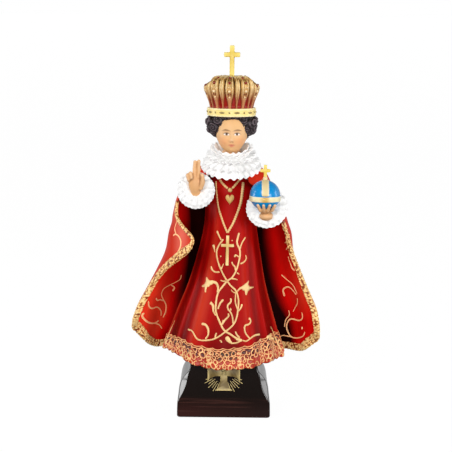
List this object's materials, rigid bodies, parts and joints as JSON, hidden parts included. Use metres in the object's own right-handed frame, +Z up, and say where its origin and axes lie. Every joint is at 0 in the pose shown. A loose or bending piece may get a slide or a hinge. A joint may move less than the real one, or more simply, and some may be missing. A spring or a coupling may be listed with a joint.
{
  "type": "crowned child devotional statuette",
  "caption": "Painted cast statuette of a crowned child in red robe and cape with gilt scrolls, right hand raised, an orb in the left, on a dark tapered pedestal.",
  "frame": {"origin": "middle of the pedestal's flat underside, where the statuette stands", "axes": "+Z up through pedestal and figure, -Y the way the figure faces, +X to the viewer's right"},
  "size_m": [0.1529, 0.1042, 0.2988],
  "materials": {
    "pedestal_black": "gloss",
    "robe_red": "satin",
    "cape_red": "satin",
    "gilt": "satin",
    "lace_gilt": "satin",
    "lace_white": "satin",
    "flesh": "satin",
    "hair_dark": "satin",
    "crown_gold": "satin",
    "bright_gold": "satin",
    "orb_blue": "gloss"
  },
  "bodies": {
    "root": {"pedestal": "pedestal_black", "figure": "robe_red", "crown": "crown_gold", "crown_cross": "bright_gold", "orb": "orb_blue"}
  },
  "joints": []
}
